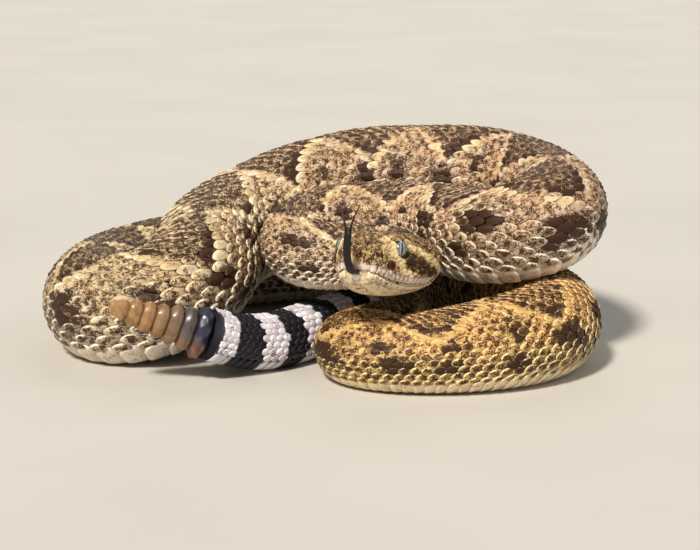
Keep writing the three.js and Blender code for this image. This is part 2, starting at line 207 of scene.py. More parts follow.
def bow_at(s):
    return 0.5 * (on_line(s - BEND_REACH) + on_line(s + BEND_REACH)) - on_line(s)


def body_frames():
    """Place, side, up, inward and girth at each step along the body. The length of inward says how
    much the inner side of a bend is pressed flat."""
    s = np.arange(0, BODY_LENGTH + FRAME_STEP, FRAME_STEP)
    place = on_line(s)
    place[:, 2] = np.maximum(place[:, 2], BELLY * girth(s))
    forward = unit(on_line(s + SLOPE_REACH) - on_line(s - SLOPE_REACH))
    up = unit(np.array((0, 0, 1.0)) - forward * forward[:, 2:])
    side = np.cross(forward, up)
    inward = bow_at(s)
    inward = unit(inward - forward * (inward * forward).sum(1, keepdims=True))
    sag = np.max([np.linalg.norm(bow_at(s + near), axis=1) for near in (-BEND_REACH, 0, BEND_REACH)], axis=0)
    sag = np.maximum(sag, 1e-6)
    bend = (BEND_REACH ** 2 + sag ** 2) / (2 * sag)
    squeeze = np.minimum(1, INNER_LIMIT * bend / girth(s))
    return s, np.hstack((place, side, up, inward * (1 - squeeze)[:, None], girth(s)[:, None]))


FRAME_S, FRAME_DATA = body_frames()


def body_surface(s, a, lift=0.0):
    """Places on the body: s along it, a round it from the middle of the back, lift over the skin."""
    s = np.clip(s, 0, BODY_LENGTH)
    f = np.stack([np.interp(s, FRAME_S, column) for column in FRAME_DATA.T], axis=-1)
    place, side, up, inward, r = f[..., 0:3], f[..., 3:6], f[..., 6:9], f[..., 9:12], f[..., 12:13]
    squeeze = np.linalg.norm(inward, axis=-1, keepdims=True)
    inward = inward / np.maximum(squeeze, 1e-9)
    reach = r + lift
    high = np.maximum(reach * np.cos(a)[..., None], -BELLY * r - lift)
    offset = side * reach * np.sin(a)[..., None] + up * high
    depth = (offset * inward).sum(-1, keepdims=True)
    offset = offset - inward * depth * squeeze * smooth(0, 0.35, depth / r)
    point = place + offset
    point[..., 2] = np.maximum(point[..., 2], 0.03)
    return point


# Surface of the head

def head_section(back, a):
    boxy = 0.82 + 0.13 * smooth(8, 40, back)
    c, s = np.cos(a), np.sin(a)
    right = -along(HEAD_WIDTH, back) * np.sign(s) * np.abs(s) ** boxy
    high = np.where(c > 0, along(HEAD_TOP, back), along(HEAD_BOTTOM, back))
    return right, high * np.sign(c) * np.abs(c) ** boxy


def pit_distance(back, up):
    return np.hypot((back - PIT[0]) / 1.75, (up - PIT[1]) / 1.4)


def nostril_distance(back, up):
    return np.hypot((back - NOSTRIL[0]) / 0.95, (up - NOSTRIL[1]) / 1.3)


def head_surface(back, a, lift=0.0):
    """Places on the head, with brow, lips, pits, nostrils and sockets worked into the plain form."""
    right, up = head_section(back, a)
    reach = np.abs(right)
    outward = unit(np.stack((np.zeros_like(right), right, up * 1.15), axis=-1))
    mouth = along(MOUTH_LINE, back)
    lips = 1 - smooth(MOUTH_END - 3, MOUTH_END + 1, back)
    brow = 1.35 * bell(back - 15.0, 5.2) * bell(reach - 9.4, 2.4) * bell(up - 6.6, 2.2)
    muzzle_ridge = 0.5 * bell(back - 8.5, 4.0) * bell(reach - 6.6, 1.3) * smooth(3, 5, up)
    crown_groove = 0.35 * bell(right, 2.6) * smooth(14, 24, back) * smooth(2, 6, up)
    cheek_hollow = 0.45 * bell(back - 7.8, 3.2) * bell(up - 1.6, 1.8) * smooth(4, 6, reach)
    lip_rolls = lips * (0.3 * bell(up - mouth - 1.5, 1.2) + 0.25 * bell(up - mouth + 1.5, 1.1))
    mouth_cut = lips * 0.75 * bell(up - mouth, 0.3)
    pit = 2.6 * np.exp(-pit_distance(back, up) ** 3.4) * (reach > 4)
    nostril = 1.7 * np.exp(-nostril_distance(back, up) ** 2.8) * (reach > 3)
    from_eye = np.sqrt((back - EYE[0]) ** 2 + (up - EYE[2]) ** 2)
    socket = 0.9 * np.exp(-(from_eye / 2.9) ** 4) * (reach > 5)
    socket_rim = 0.35 * bell(from_eye - 3.7, 0.7) * (reach > 5)
    rise = brow + muzzle_ridge - crown_groove - cheek_hollow + lip_rolls - mouth_cut
    rise = rise - pit - nostril - socket + socket_rim
    local = np.stack((back, right, up), axis=-1) + outward * (rise + lift)[..., None]
    return in_head(local)


# Meshes

def to_row(points):
    return (np.asarray(points, float) + SHIFT) * 0.001


eye_low, eye_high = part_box("eye_left")
SHIFT = np.array((eye_low + eye_high) * 500) - in_head((EYE[0], -EYE[1], EYE[2]))
scene = bpy.context.scene


def linear(rgb):
    c = np.asarray(rgb, float) / 255
    return np.where(c <= 0.04045, c / 12.92, ((c + 0.055) / 1.055) ** 2.4)


def make_piece(name, points, faces, finish, colour=None, speck=None, uv=None, extra=None):
    """A mesh object in the row frame that rides on the root body."""
    mesh = bpy.data.meshes.new(name)
    mesh.from_pydata(to_row(points).tolist(), [], [list(map(int, f)) for f in faces])
    mesh.polygons.foreach_set("use_smooth", [True] * len(mesh.polygons))
    if colour is not None:
        attribute = mesh.color_attributes.new("Col", "FLOAT_COLOR", "POINT")
        rgba = np.hstack((np.clip(colour, 0, 1), np.ones((len(points), 1))))
        attribute.data.foreach_set("color", rgba.astype(np.float32).ravel())
    if speck is not None:
        attribute = mesh.attributes.new("speck", "FLOAT", "POINT")
        attribute.data.foreach_set("value", np.asarray(speck, np.float32))
    if extra is not None:
        attribute = mesh.attributes.new("spot", "FLOAT_VECTOR", "POINT")
        attribute.data.foreach_set("vector", np.asarray(extra, np.float32).ravel())
    if uv is not None:
        layer = mesh.uv_layers.new(name="OFBake")
        corner = np.zeros(len(mesh.loops), np.int32)
        mesh.loops.foreach_get("vertex_index", corner)
        layer.data.foreach_set("uv", np.asarray(uv, np.float32)[corner].ravel())
    mesh.materials.append(finish)
    obj = bpy.data.objects.new(name, mesh)
    scene.collection.objects.link(obj)
    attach(obj, "root")
    return obj


def tube_faces(rows, columns, start=0):
    """Four-sided faces between closed rows of points that are numbered row by row from start."""
    k = np.arange(columns)
    after = (k + 1) % columns
    first = start + columns * np.arange(rows - 1)[:, None]
    corners = (first + k, first + after, first + columns + after, first + columns + k)
    return np.stack(corners, axis=-1).reshape(-1, 4)


def end_faces(rows, columns, near, far):
    """Fans that close the first row of a tube to the point near and its last row to the point far."""
    end = (rows - 1) * columns
    faces = [((k + 1) % columns, k, near) for k in range(columns)]
    return faces + [(end + k, end + (k + 1) % columns, far) for k in range(columns)]


# Colours of the skin

INK = linear((34, 24, 20))
BROWN = linear((98, 68, 44))
DARK_BROWN = linear((54, 30, 15))
SPOT = linear((60, 33, 17))
CREAM = linear((246, 230, 204))
WHITE = linear((250, 242, 228))
YELLOW_CREAM = linear((252, 230, 172))
GOLDEN_CREAM = linear((238, 206, 130))
TAIL_WHITE = linear((236, 232, 238))
TAIL_GREY = linear((206, 200, 208))
TAIL_BLACK = linear((28, 28, 38))
BELLY_CREAM = linear((252, 242, 224))
BELLY_GOLD = linear((250, 224, 166))
GROUND = [
    (0, (222, 188, 142)), (90, (228, 192, 148)), (200, (226, 186, 146)), (300, (216, 180, 138)),
    (410, (232, 204, 158)), (520, (226, 196, 144)), (620, (220, 180, 110)), (690, (248, 194, 120)),
    (860, (248, 196, 124)), (906, (216, 186, 134)), (912, (200, 186, 176)),
]
BLOTCH_START, BLOTCH_PITCH, BLOTCH_HALF = 48.0, 36.5, 56.0
# degrees from the middle of the back, place along the body in half pitches of the diamonds, and size
FLANK_SPOTS = ((76, 0.0, 3.7), (64, 1.0, 3.2), (97, 0.5, 2.9), (97, 1.5, 2.9))
# edges of the tail's bands, back from the root of the rattle
BANDS = [1.0, 9.5, 20.5, 30.5, 39.5, 48.5, 58.5, 68.5, 79.0, 90.0, 101.0]


def ground(s):
    stations = [at for at, _ in GROUND]
    colours = linear([c for _, c in GROUND])
    return np.stack([np.interp(s, stations, colours[:, i]) for i in range(3)], axis=-1)


def mix(a, b, weight):
    weight = np.asarray(weight, float)[..., None]
    return a * (1 - weight) + b * weight


def from_back(a):
    """Degrees from the middle of the back."""
    return np.abs(np.degrees((a + np.pi) % (2 * np.pi) - np.pi))


def tail_share(s):
    return smooth(VENT + 6, VENT + 14, s)


def body_pattern(s, a, chance):
    """Colour and share of dark specks: diamonds down the back, spots on the flanks, rings on the tail."""
    degrees = from_back(a)
    phase = (s - BLOTCH_START) / BLOTCH_PITCH
    from_middle = np.abs(phase - np.round(phase)) * 2
    measure = from_middle + degrees / BLOTCH_HALF + 0.10 * (chance - 0.5)
    colour = ground(s)
    speck = np.full(np.shape(s), 0.5)
    golden = smooth(630, 690, s) * (1 - smooth(870, 905, s))
    cream = mix(CREAM, GOLDEN_CREAM, golden)
    colour = mix(colour, cream, 0.65 * smooth(72, 112, degrees))
    inside = 1 - smooth(0.80, 0.98, measure)
    colour = mix(colour, BROWN, (0.17 - 0.05 * golden) * inside * (0.35 + 0.65 * smooth(0.1, 0.6, measure)))
    speck = speck + 0.22 * inside
    border = bell(measure - 0.93, 0.10)
    corner = smooth(22, 40, degrees)
    dark = np.where(chance > 0.70 - 0.35 * corner, 1.0, 0.15)
    colour = mix(colour, SPOT, 0.50 * border * dark)
    speck = speck + 0.75 * border * dark
    edge = bell(measure - 1.16, 0.10) * (degrees < 64)
    edge_colour = mix(mix(WHITE, YELLOW_CREAM, chance), cream, golden)
    colour = mix(colour, edge_colour, 0.75 * edge * (chance > 0.35))
    speck = speck - 0.5 * edge
    for height, offset, size in FLANK_SPOTS:
        near = np.round(phase - offset / 2)
        luck = [np.abs(np.sin(near * k + height + 3 * (np.sin(a) > 0))) for k in (12.9, 7.7, 4.3)]
        shift = (phase - offset / 2 - near) * BLOTCH_PITCH + 10 * (luck[0] - 0.6)
        rise = (degrees - height) * 0.33 + 5 * (luck[1] - 0.6)
        far = np.sqrt(shift ** 2 + rise ** 2) / (0.45 + 0.75 * luck[2])
        spot = 1 - smooth(size * 0.7, size * 1.15, far + 3.4 * (chance - 0.5))
        colour = mix(colour, SPOT, 0.40 * spot)
        speck = speck + 0.62 * spot + 0.25 * (1 - smooth(size, size * 1.7, far))
        ring = bell(far - size * 1.6, 1.5)
        colour = mix(colour, cream, 0.4 * ring * (1 - smooth(0.8, 1.0, inside)))
    speck = speck - 0.15 * smooth(104, 124, degrees)
    from_rattle = BODY_LENGTH - s
    count = np.searchsorted(BANDS, from_rattle + 1.2 * (chance - 0.5))
    pale = mix(TAIL_WHITE, TAIL_GREY, smooth(0.3, 1, chance))
    dark = TAIL_BLACK * (0.8 + 0.5 * chance)[..., None]
    tail = np.where((count % 2 == 1)[..., None], pale, dark)
    on_tail = tail_share(s)
    colour = mix(colour, tail, on_tail)
    speck = speck * (1 - on_tail) + 0.12 * on_tail
    return colour, speck


def stroke(back, up, points, width):
    """Nearness to a line of (back, up) points on the side of the head."""
    best = np.full(np.shape(back), 1e9)
    for (b0, u0), (b1, u1) in zip(points, points[1:]):
        db, du = b1 - b0, u1 - u0
        t = np.clip(((back - b0) * db + (up - u0) * du) / (db * db + du * du), 0, 1)
        best = np.minimum(best, np.hypot(back - b0 - t * db, up - u0 - t * du))
    return bell(best, width)


# the dark band behind the eye and the pale lines in front of it and behind it, as (back, up)
EYE_BAND = [(15.5, 0.2), (20, -1.2), (27, -3.2), (34, -4.5)]
FRONT_LINE = [(10.8, 6.2), (12.0, 2.2), (15.0, -3.4), (21, -6.0), (28, -7.0)]
REAR_LINE = [(17.6, 5.2), (21, 3.4), (27, 0.6), (33, -2.2), (37, -3.6)]


def head_pattern(back, a, chance):
    """Colour and share of dark specks on the head, which run into the body's own at the neck."""
    right, up = head_section(back, a)
    reach = np.abs(right)
    side = smooth(3.5, 6.5, reach)
    mouth = along(MOUTH_LINE, back)
    colour = mix(linear((226, 188, 126)), BROWN, 0.24 * (chance > 0.65) + 0.04)
    speck = 0.64 + 0 * back
    snout = (1 - smooth(7, 13, back)) * side
    colour = mix(colour, linear((232, 204, 154)), 0.7 * snout)
    speck = speck - 0.06 * snout
    band = stroke(back, up, EYE_BAND, 2.5) * side
    colour = mix(colour, linear((176, 142, 84)), 0.8 * band)
    speck = speck + 0.36 * band
    front = stroke(back, up, FRONT_LINE, 1.35) * side
    rear = stroke(back, up, REAR_LINE, 1.15) * side
    patch = bell(back - 10.0, 3.2) * bell(up - 1.8, 3.8) * side
    for pale, strength in ((front, 1.0), (rear, 1.0), (patch, 0.95)):
        colour = mix(colour, YELLOW_CREAM, strength * pale)
        speck = speck - 0.85 * pale
    lip = 1 - smooth(1.8, 3.8, up - mouth)
    colour = mix(colour, linear((248, 230, 212)), 0.9 * lip)
    speck = speck - 0.34 * lip
    chin = 1 - smooth(-0.6, 0.2, up - mouth)
    behind = smooth(MOUTH_END - 2, MOUTH_END + 6, back)
    low = 1 - smooth(-8.5, -3.5, up)
    under = np.clip(0.95 * chin * (1 - behind) + 0.7 * low * behind, 0, 1)
    colour = mix(colour, linear((252, 230, 188)), under)
    speck = np.where(chin * (1 - behind) > 0.5, 0.16, speck)
    # the heat pit is painted dark red and the nostril nearly black: painted shade of these hollows
    pit = (1 - smooth(0.72, 0.95, pit_distance(back, up))) * (reach > 4)
    colour = mix(colour, linear((120, 26, 14)), pit)
    speck = speck * (1 - pit)
    colour = mix(colour, INK, (1 - smooth(0.8, 1.1, nostril_distance(back, up))) * (reach > 3))
    # a thin dark line along the mouth: painted shade in the groove between the lips
    colour = mix(colour, linear((96, 50, 40)), 0.8 * bell(up - mouth, 0.28) * (1 - behind))
    # the skin round the eye is painted nearly black: painted shade in the socket round the ball
    socket = np.hypot(back - EYE[0], up - EYE[2])
    colour = mix(colour, INK, 0.7 * (1 - smooth(2.6, 3.3, socket)) * (reach > 5))
    blend = smooth(40, 47.5, back)
    neck, neck_speck = body_pattern(NECK_START + back - HEAD_LENGTH, a, chance)
    return mix(colour, neck, blend), speck * (1 - blend) + neck_speck * blend


# Materials

def new_material(name, roughness, specular=0.4, coat=0.0):
    material = bpy.data.materials.new(name)
    material.use_nodes = True
    shader = material.node_tree.nodes["Principled BSDF"]
    shader.inputs["Roughness"].default_value = roughness
    shader.inputs["Specular IOR Level"].default_value = specular
    shader.inputs["Coat Weight"].default_value = coat
    return material, material.node_tree, shader


def add_node(tree, kind, **values):
    node = tree.nodes.new(kind)
    for key, value in values.items():
        setattr(node, key, value)
    return node


def noise(tree, scale, detail=3.0, roughness=0.6, stretch=None):
    place = add_node(tree, "ShaderNodeTexCoord").outputs["Object"]
    if stretch:
        mapping = add_node(tree, "ShaderNodeMapping")
        mapping.inputs["Scale"].default_value = stretch
        tree.links.new(place, mapping.inputs["Vector"])
        place = mapping.outputs["Vector"]
    node = add_node(tree, "ShaderNodeTexNoise")
    node.inputs["Scale"].default_value = scale
    node.inputs["Detail"].default_value = detail
    node.inputs["Roughness"].default_value = roughness
    tree.links.new(place, node.inputs["Vector"])
    return node.outputs["Fac"]


def maths(tree, operation, first, second=None, third=None):
    node = add_node(tree, "ShaderNodeMath", operation=operation)
    for socket, value in zip(node.inputs, (first, second, third)):
        if value is None:
            continue
        if isinstance(value, (int, float)):
            socket.default_value = value
        else:
            tree.links.new(value, socket)
    return node.outputs[0]


def span(tree, value, low, high, to_low=0.0, to_high=1.0, kind="SMOOTHSTEP"):
    node = add_node(tree, "ShaderNodeMapRange", interpolation_type=kind)
    tree.links.new(value, node.inputs["Value"])
    for key, number in (("From Min", low), ("From Max", high), ("To Min", to_low), ("To Max", to_high)):
        node.inputs[key].default_value = number
    return node.outputs["Result"]


def blend_colour(tree, weight, first, second, kind="MIX"):
    node = add_node(tree, "ShaderNodeMix", data_type="RGBA", blend_type=kind)
    for socket, value in zip((node.inputs[0], node.inputs[6], node.inputs[7]), (weight, first, second)):
        if isinstance(value, (int, float)):
            socket.default_value = value
        elif isinstance(value, (tuple, list, np.ndarray)):
            socket.default_value = (*[float(v) for v in value[:3]], 1.0)
        else:
            tree.links.new(value, socket)
    return node.outputs[2]


def bump(tree, shader, height, strength, distance):
    node = add_node(tree, "ShaderNodeBump")
    node.inputs["Strength"].default_value = strength
    node.inputs["Distance"].default_value = distance
    tree.links.new(height, node.inputs["Height"])
    tree.links.new(node.outputs["Normal"], shader.inputs["Normal"])


def scale_material(name, roughness, speck_size, shade):
    """Scaly skin: the marking's colour, fine dark specks in clusters, and a faint grain."""
    material, tree, shader = new_material(name, roughness, 0.2)
    colour = add_node(tree, "ShaderNodeVertexColor", layer_name="Col").outputs["Color"]
    share = add_node(tree, "ShaderNodeAttribute", attribute_name="speck").outputs["Fac"]
    fine = noise(tree, speck_size, 3.5, 0.62)
    clusters = noise(tree, speck_size * 0.19, 2.0)
    field = maths(tree, "ADD", maths(tree, "MULTIPLY", fine, 0.6), maths(tree, "MULTIPLY", clusters, 0.4))
    field = maths(tree, "MULTIPLY_ADD", share, 0.2, field)
    specks = span(tree, field, 0.595, 0.645)
    tinted = blend_colour(tree, span(tree, clusters, 0.35, 0.7, 0.0, 0.35), colour,
                          blend_colour(tree, 1.0, colour, linear(shade), "MULTIPLY"))
    final = blend_colour(tree, maths(tree, "MULTIPLY", specks, 0.97), tinted, DARK_BROWN * 0.9)
    tree.links.new(final, shader.inputs["Base Color"])
    tree.links.new(span(tree, fine, 0.3, 0.7, roughness - 0.08, roughness + 0.12), shader.inputs["Roughness"])
    bump(tree, shader, fine, 0.35, 0.00012)
    return material


SCALES = scale_material("scales", 0.48, 2500, (226, 196, 158))
HEAD_SCALES = scale_material("head_scales", 0.50, 3200, (210, 180, 146))
TAIL_SCALES = scale_material("tail_scales", 0.42, 1800, (228, 220, 216))
CHIN_SCALES = scale_material("chin_scales", 0.46, 2600, (240, 224, 200))
SKIN = scale_material("skin", 0.62, 1400, (170, 132, 104))

# One skin from the snout to the root of the rattle

HEAD_COLUMNS, BODY_COLUMNS = 256, 128
HEAD_SKIN_LIFT, BODY_SKIN_LIFT = -0.25, -0.4   # the skin lies under the scales
# the skin's colours are painted this much darker: painted shade in the gaps between the scales
SKIN_GAP_SHADE = 0.72


def make_skin():
    backs = np.concatenate(((0.0, 0.25, 0.5, 0.8), np.arange(1.15, HEAD_LENGTH - 0.1, 0.36), (HEAD_LENGTH,)))
    b, a = np.meshgrid(backs, full_turn(HEAD_COLUMNS), indexing="ij")
    head = head_surface(b, a, HEAD_SKIN_LIFT).reshape(-1, 3)
    colour, speck = head_pattern(b, a, 0.5 + 0 * b)
    lengths = np.linspace(NECK_START + 0.6, BODY_LENGTH - 0.1, 400)
    s, a2 = np.meshgrid(lengths, full_turn(BODY_COLUMNS), indexing="ij")
    body = body_surface(s, a2, BODY_SKIN_LIFT).reshape(-1, 3)
    colour2, speck2 = body_pattern(s, a2, 0.5 + 0 * s)
    nose = in_head(((-0.1, 0, -2.0),))
    end = body_surface(np.array((BODY_LENGTH,)), np.array((0.0,)), -9.0)
    points = np.vstack((head, body, nose, end))
    colours = np.vstack((colour.reshape(-1, 3), colour2.reshape(-1, 3), colour[0, :1], colour2[-1, :1]))
    specks = np.concatenate((speck.ravel(), speck2.ravel(), (0.3, 0.1)))
    start = len(head)
    faces = tube_faces(len(backs), HEAD_COLUMNS).tolist()
    faces.extend(tube_faces(len(lengths), BODY_COLUMNS, start).tolist())
    last = start - HEAD_COLUMNS
    for k in range(BODY_COLUMNS):
        p, q, r = last + 2 * k, last + 2 * k + 1, last + (2 * k + 2) % HEAD_COLUMNS
        u, v = start + k, start + (k + 1) % BODY_COLUMNS
        faces.extend(((p, q, u), (q, r, v), (q, v, u)))
    tip, tail = len(points) - 2, len(points) - 1
    far = tip - BODY_COLUMNS
    faces.extend(((k + 1) % HEAD_COLUMNS, k, tip) for k in range(HEAD_COLUMNS))
    faces.extend((far + k, far + (k + 1) % BODY_COLUMNS, tail) for k in range(BODY_COLUMNS))
    # the skin is painted darker: painted shade in the gaps between the scales
    skin = make_piece("skin", points, faces, SKIN, colours * SKIN_GAP_SHADE, specks)
    flesh = [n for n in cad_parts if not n.startswith(("rattle", "eye", "tongue"))]
    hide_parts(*flesh)
    return skin


make_skin()

# Scales: each one is a small solid, a grid from its root to its free edge over one deep point


class Template:
    def __init__(self, ts, ws, outline):
        t, w = np.meshgrid(np.asarray(ts, float), np.asarray(ws, float), indexing="ij")
        rows, columns = t.shape
        index = np.arange(rows * columns).reshape(rows, columns)
        a, b, c, d = index[:-1, :-1], index[:-1, 1:], index[1:, 1:], index[1:, :-1]
        top = np.concatenate((np.stack((a, b, c), -1).reshape(-1, 3), np.stack((a, c, d), -1).reshape(-1, 3)))
        rim = np.concatenate((index[0, :-1], index[:-1, -1], index[-1, :0:-1], index[:0:-1, 0]))
        deep = rows * columns
        fan = np.stack((np.roll(rim, -1), rim, np.full(len(rim), deep)), axis=-1)
        self.faces = np.concatenate((top, fan))
        self.t = np.append(t.ravel(), 0.45)
        self.w = np.append(w.ravel(), 0.0)
        self.x = self.w * outline(self.t)
        self.deep = np.append(np.zeros(rows * columns), 1.0)
        on_rim = np.zeros(rows * columns + 1)
        on_rim[rim] = 1.0
        self.rim = on_rim

    def height(self, sink, lift, dome, keel):
        """Height of the vertices over the skin, for arrays of one value a scale."""
        t, w = self.t[None], self.w[None]
        shape = np.clip(t / 0.35, 0, 1) * (1 - 0.55 * smooth(0.75, 1.0, t))
        h = -sink[:, None] * (1 - smooth(0.0, 0.45, t)) + lift[:, None] * t ** 1.3
        h = h + dome[:, None] * (1 - w ** 2) * shape + keel[:, None] * bell(w, 0.17) * smooth(0.1, 0.4, t)
        h = h - 0.22 * self.rim[None] * smooth(0.3, 0.8, t) * (lift + dome)[:, None]
        return np.where(self.deep[None] > 0, -0.5, h)


def leaf(t):
    front = 0.60 + 0.40 * np.sin(np.pi / 2 * np.clip(t / 0.42, 0, 1))
    return front * np.clip(1 - np.clip((t - 0.42) / 0.60, 0, 1) ** 2.2, 0, 1) ** 0.7


def plate(t):
    return 0.96 - 0.22 * smooth(0.8, 1.0, t)


LEAF = Template((0, 0.14, 0.32, 0.52, 0.72, 0.88, 1.0), (-1, -0.62, -0.22, 0, 0.22, 0.62, 1), leaf)
SMALL_LEAF = Template((0, 0.2, 0.45, 0.7, 0.88, 1.0), (-1, -0.55, 0, 0.55, 1), leaf)
SCUTE = Template((0, 0.35, 0.7, 0.9, 1.0), np.linspace(-1, 1, 17), plate)
LABIAL = Template((0, 0.12, 0.35, 0.65, 0.88, 1.0), (-1, -0.72, 0, 0.72, 1),
                  lambda t: 0.98 - 0.12 * np.abs(2 * t - 1) ** 4)


ROUND = (-np.pi, np.pi)
ROUND_BELLY = (-np.pi, np.pi * 1.6)
HEAD_BOX = ((0, 50), ROUND)
TAIL_SPAN = (VENT - 10, BODY_LENGTH + 3)
SCUTE_HALF = np.radians(62)
TAIL_ROW = np.radians(14.2)


def coat(name, surface, pattern, template, centre, size, turn, shape, finish, slot, uv_box, light):
    """Joins many scales into one mesh. centre is (along, around) in the surface's own terms, and size
    (length, half width) in millimetres. turn swings a scale on the skin, shape holds sink, lift, dome
    and keel, uv_box is the stretch of skin that the bake's square covers, and light the pale rim."""
    count = len(centre)
    reach = size[:, 0][:, None] * (template.t - 0.47)[None]
    across = size[:, 1][:, None] * template.x[None]
    cos, sin = np.cos(turn)[:, None], np.sin(turn)[:, None]
    s0, a0 = centre[:, 0][:, None], centre[:, 1][:, None]
    flat_s, flat_a = np.broadcast_to(s0, reach.shape), np.broadcast_to(a0, reach.shape)
    step_s, step_a = 0.4, 0.02
    here = surface(s0[:, 0], a0[:, 0])
    long_s = np.linalg.norm(surface(s0[:, 0] + step_s, a0[:, 0]) - here, axis=-1)[:, None] / step_s
    long_a = np.linalg.norm(surface(s0[:, 0], a0[:, 0] + step_a) - here, axis=-1)[:, None] / step_a
    s = flat_s + (cos * reach - sin * across) / np.clip(long_s, 0.5, 1.6)
    a = flat_a + (sin * reach + cos * across) / np.maximum(long_a, 0.5)
    skin = surface(s, a)
    normal = unit(np.cross(surface(s, a + step_a) - skin, surface(s + step_s, a) - skin))
    points = skin + normal * template.height(*shape)[..., None]
    points[..., 2] = np.maximum(points[..., 2], 0.02)
    chance = random.random(count)[:, None]
    from_scale = 0.6
    colour, speck = pattern(s0 * from_scale + s * (1 - from_scale), a0 * from_scale + a * (1 - from_scale),
                            np.broadcast_to(chance, s.shape))
    colour = colour * (0.91 + 0.18 * random.random((count, 1, 1)))
    middle = (1 - template.w ** 2) * bell(template.t - 0.55, 0.3)
    shaded = middle[None] * (0.20 + 0.55 * np.clip(light[:, None], 0, 1)) * (light[:, None] > 0.1)
    colour = mix(colour, BROWN * 1.1, shaded)
    # each scale is painted up to 0.45 darker towards its root, which lies under the scale before it: painted
    # shade
    root = 1 - smooth(0.05, 0.5, template.t)
    colour = colour * (1 - 0.45 * root)[None, :, None]
    pale = template.rim * smooth(0.35, 0.7, template.t)
    edge = 0.5 * np.minimum(1.0, colour * 1.3 + 0.14) + 0.5 * WHITE
    colour = mix(colour, edge, np.clip(pale[None] * light[:, None] * 1.4, 0, 1))
    speck = speck - 0.55 * pale[None] * np.minimum(1, 2.5 * light[:, None]) + 0.6 * shaded
    (s_low, s_high), (a_low, a_high) = uv_box
    u = (s0 - s_low) / (s_high - s_low) * 0.98 + 0.01 + 0.003 * (template.t - 0.5)[None]
    v = (a0 - a_low) / (a_high - a_low) * 0.98 + 0.01 + 0.0015 * template.x[None]
    faces = (template.faces[None] + (np.arange(count) * len(template.t))[:, None, None]).reshape(-1, 3)
    return make_piece(name, points.reshape(-1, 3), faces, finish, colour.reshape(-1, 3),
                      speck.ravel(), np.stack((u, v), -1).reshape(-1, 2))


def spread(values, share):
    return values * (1 + share * (random.random(np.shape(values)) - 0.5) * 2)


# Scales of the body, in rows that run along it and are set off by half a scale from row to row

# the rows stand further apart towards the belly: degrees to the first row, and growth for each row
ROW_STEP, ROW_GROWTH = 8.3, 0.095
ROWS_EACH_SIDE = 13
# the pitch at which scales stand up in full, as smaller ones stand up less
BODY_FULL_PITCH, SCUTE_FULL_PITCH = 5.0, 5.4
BODY_CUTS = (NECK_START - 2, 150, 250, 350, 470, 590, 700, 790, VENT + 9)


def scale_steps(start, end, factor, least):
    """Places along the body, each further on by a share of the girth, and by least at least."""
    steps = [start]
    while steps[-1] < end:
        steps.append(steps[-1] + max(least, factor * float(girth(steps[-1]))))
    return np.array(steps)


def row_angle(j):
    return np.radians(np.sign(j) * (ROW_STEP * np.abs(j) + ROW_GROWTH * j * j))


def body_scales():
    steps = scale_steps(NECK_START - 1.0, VENT, factor=0.232, least=2.6)
    number = np.arange(len(steps))
    rows = np.arange(-ROWS_EACH_SIDE, ROWS_EACH_SIDE + 1)
    n, j = np.meshgrid(number, rows, indexing="ij")
    n, j = n.ravel(), j.ravel()
    place = n + 0.5 * (j % 2) + 0.07 * (random.random(len(n)) - 0.5)
    s = np.interp(place, number, steps)
    pitch = np.interp(place, number, np.gradient(steps))
    a = row_angle(j)
    keep = (s > NECK_START) & (s < VENT + 1)
    s, a, j, pitch = s[keep], a[keep], j[keep], pitch[keep]
    width = girth(s) * np.radians(ROW_STEP + 2 * ROW_GROWTH * np.abs(j))
    size = np.stack((spread(pitch * 1.78, 0.05), spread(width * 0.68, 0.05)), -1)
    small = pitch / BODY_FULL_PITCH
    keel = 0.30 * small * (1 - smooth(9.0, 12.5, np.abs(j)))
    shape = (0.3 * small, spread(0.72 * small, 0.22), 0.16 * small, keel)
    light = 0.30 + 0.55 * smooth(7.0, 12.0, np.abs(j)) + 0.08 * random.random(len(s))
    turn = 0.07 * (random.random(len(s)) - 0.5)
    for k, (low, high) in enumerate(zip(BODY_CUTS, BODY_CUTS[1:])):
        pick = (s >= low) & (s < high)
        coat(f"body_scales_{k + 1}", body_surface, body_pattern, LEAF, np.stack((s[pick], a[pick]), -1),
             size[pick], turn[pick], [v[pick] for v in shape], SCALES, "body_skin", ((low, high), ROUND),
             light[pick])


def belly_scutes():
    steps = scale_steps(NECK_START + 1.0, VENT, factor=0.240, least=2.7)
    s = steps[:-1]
    pitch = np.diff(steps)
    centre = np.stack((s, np.full(len(s), np.pi)), -1)
    size = np.stack((pitch * 1.45, girth(s) * SCUTE_HALF), -1)
    small = pitch / SCUTE_FULL_PITCH
    none = np.zeros(len(s))
    shape = (0.3 * small, 0.8 * small, none, none)
    coat("belly_scutes", body_surface, belly_pattern, SCUTE, centre, size, none, shape, SCALES,
         "body_skin", ((0, BODY_LENGTH), ROUND_BELLY), np.full(len(s), 0.35))


def belly_pattern(s, a, chance):
    colour, _ = body_pattern(s, a, chance)
    degrees = from_back(a)
    pale = mix(BELLY_CREAM, BELLY_GOLD, smooth(640, 700, s) * (1 - smooth(860, 900, s)) * 0.6)
    body = mix(colour, pale, 0.75 + 0.25 * smooth(118, 134, degrees))
    on_tail = tail_share(s)
    speck = (0.5 - 0.38 * smooth(118, 146, degrees)) * (1 - on_tail) + 0.1 * on_tail
    return mix(body, colour, on_tail), speck


